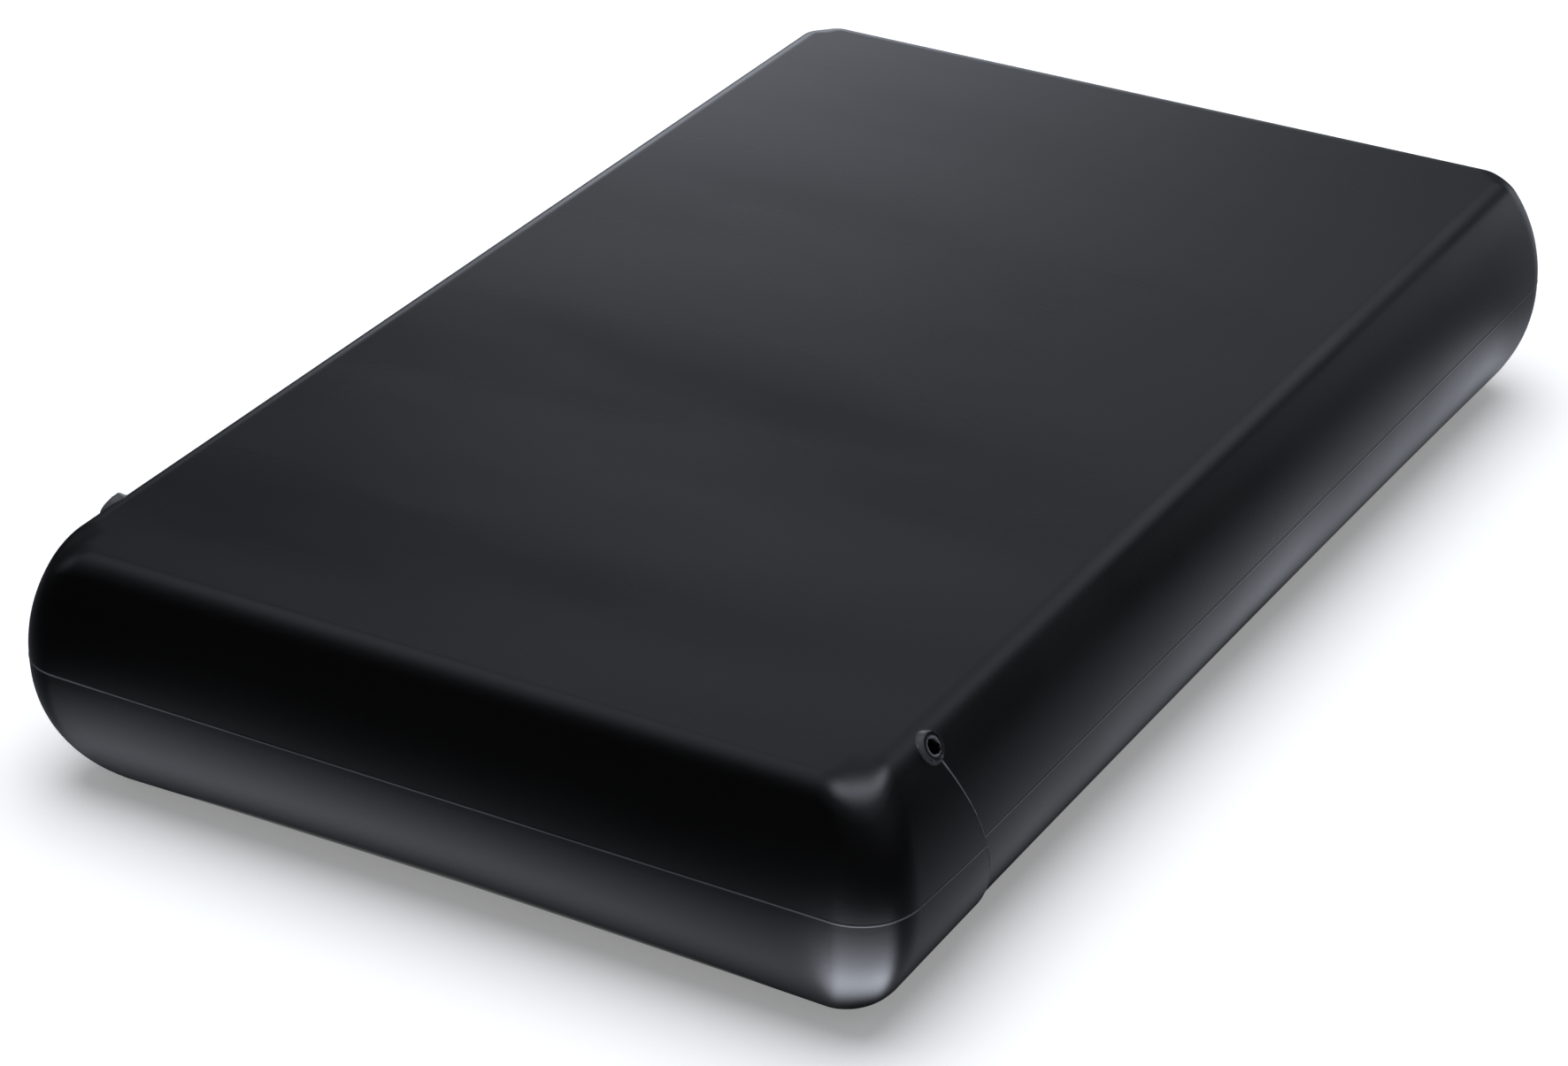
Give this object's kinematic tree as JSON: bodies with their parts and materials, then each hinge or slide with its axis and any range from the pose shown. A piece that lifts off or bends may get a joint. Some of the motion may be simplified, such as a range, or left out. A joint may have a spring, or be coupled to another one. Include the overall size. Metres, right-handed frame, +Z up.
{
  "type": "portable external hard drive",
  "caption": "Palm-sized hard drive in a thick pillow-sided rubber sleeve; one end peels back on a living hinge over the socket.",
  "frame": {"origin": "centre of the footprint on the surface the drive lies on", "axes": "+Y along the length to the closed end, with the peel-back end at -Y; +X across the width; +Z up"},
  "size_m": [0.0838, 0.133, 0.0234],
  "materials": {
    "sleeve_rubber": "fine matte moulded silicone",
    "case_plastic": "fine moulded grain",
    "damper_rubber": "matte",
    "screw_steel": "zinc plated",
    "board_green": "satin solder mask",
    "chip_resin": "matte moulded resin",
    "crystal_can": "satin nickel",
    "capacitor_ceramic": "fired ceramic",
    "connector_plastic": "moulded nylon",
    "cast_base": "die cast",
    "cover_sheet": "brushed sheet",
    "turned_hub": "turned",
    "bearing_steel": "ground",
    "stator_laminate": "stacked laminations",
    "magnet_nickel": "nickel plated",
    "platter_mirror": "polished",
    "arm_aluminium": "milled",
    "coil_copper": "enamelled copper wire",
    "spring_steel": "rolled sheet",
    "slider_ceramic": "lapped ceramic",
    "yoke_steel": "nickel plated steel",
    "ramp_plastic": "moulded acetal",
    "ribbon_film": "amber film",
    "filter_felt": "white felt"
  },
  "bodies": {
    "housing": {"rubber_sleeve": "sleeve_rubber", "case_tray": "case_plastic", "case_lid": "case_plastic", "port_panel": "case_plastic", "front_left_damper": "damper_rubber", "front_right_damper": "damper_rubber", "rear_left_damper": "damper_rubber", "rear_right_damper": "damper_rubber", "crash_stops": "damper_rubber", "cover_gasket": "damper_rubber", "case_screws": "screw_steel", "bridge_screws": "screw_steel", "cover_screws": "screw_steel", "board_screws": "screw_steel", "bridge_board": "board_green", "drive_board": "board_green", "bridge_chip": "chip_resin", "controller_chip": "chip_resin", "memory_chip": "chip_resin", "motor_chip": "chip_resin", "clock_crystal": "crystal_can", "usb_shell": "crystal_can", "bridge_capacitors": "capacitor_ceramic", "usb_insulator": "connector_plastic", "drive_plug": "connector_plastic", "drive_socket": "connector_plastic", "ribbon_bracket": "connector_plastic", "drive_base": "cast_base", "drive_cover": "cover_sheet", "spindle_bearing": "bearing_steel", "pivot_post": "bearing_steel", "yoke_posts": "bearing_steel", "spindle_stator": "stator_laminate", "lower_magnet": "magnet_nickel", "upper_magnet": "magnet_nickel", "lower_yoke": "yoke_steel", "upper_yoke": "yoke_steel", "loading_ramp": "ramp_plastic", "head_ribbon": "ribbon_film", "air_filter": "filter_felt"},
    "flap": {"end_flap": "sleeve_rubber"},
    "spindle": {"spindle_hub": "turned_hub", "rotor_magnet": "magnet_nickel", "lower_platter": "platter_mirror", "platter_spacer": "turned_hub", "upper_platter": "platter_mirror", "platter_clamp": "turned_hub", "clamp_screw": "screw_steel"},
    "actuator": {"actuator_arm": "arm_aluminium", "voice_coil": "coil_copper", "pivot_bearing": "bearing_steel", "head_suspensions": "spring_steel", "head_sliders": "slider_ceramic"}
  },
  "joints": [
    {"name": "flap_hinge", "type": "hinge", "parent": "housing", "child": "flap", "pos_m": [0, -0.0545, 0.0234], "axis": [-1, 0, 0], "range_deg": [0, 115], "stiffness_Nm_per_rad": 0.02},
    {"name": "spindle_spin", "type": "hinge", "parent": "housing", "child": "spindle", "pos_m": [0, 0.0247, 0.0109], "axis": [0, 0, 1], "continuous": true},
    {"name": "actuator_swing", "type": "hinge", "parent": "housing", "child": "actuator", "pos_m": [-0.0175, -0.01567, 0.01297], "axis": [0, 0, 1], "range_deg": [0, 31]}
  ]
}
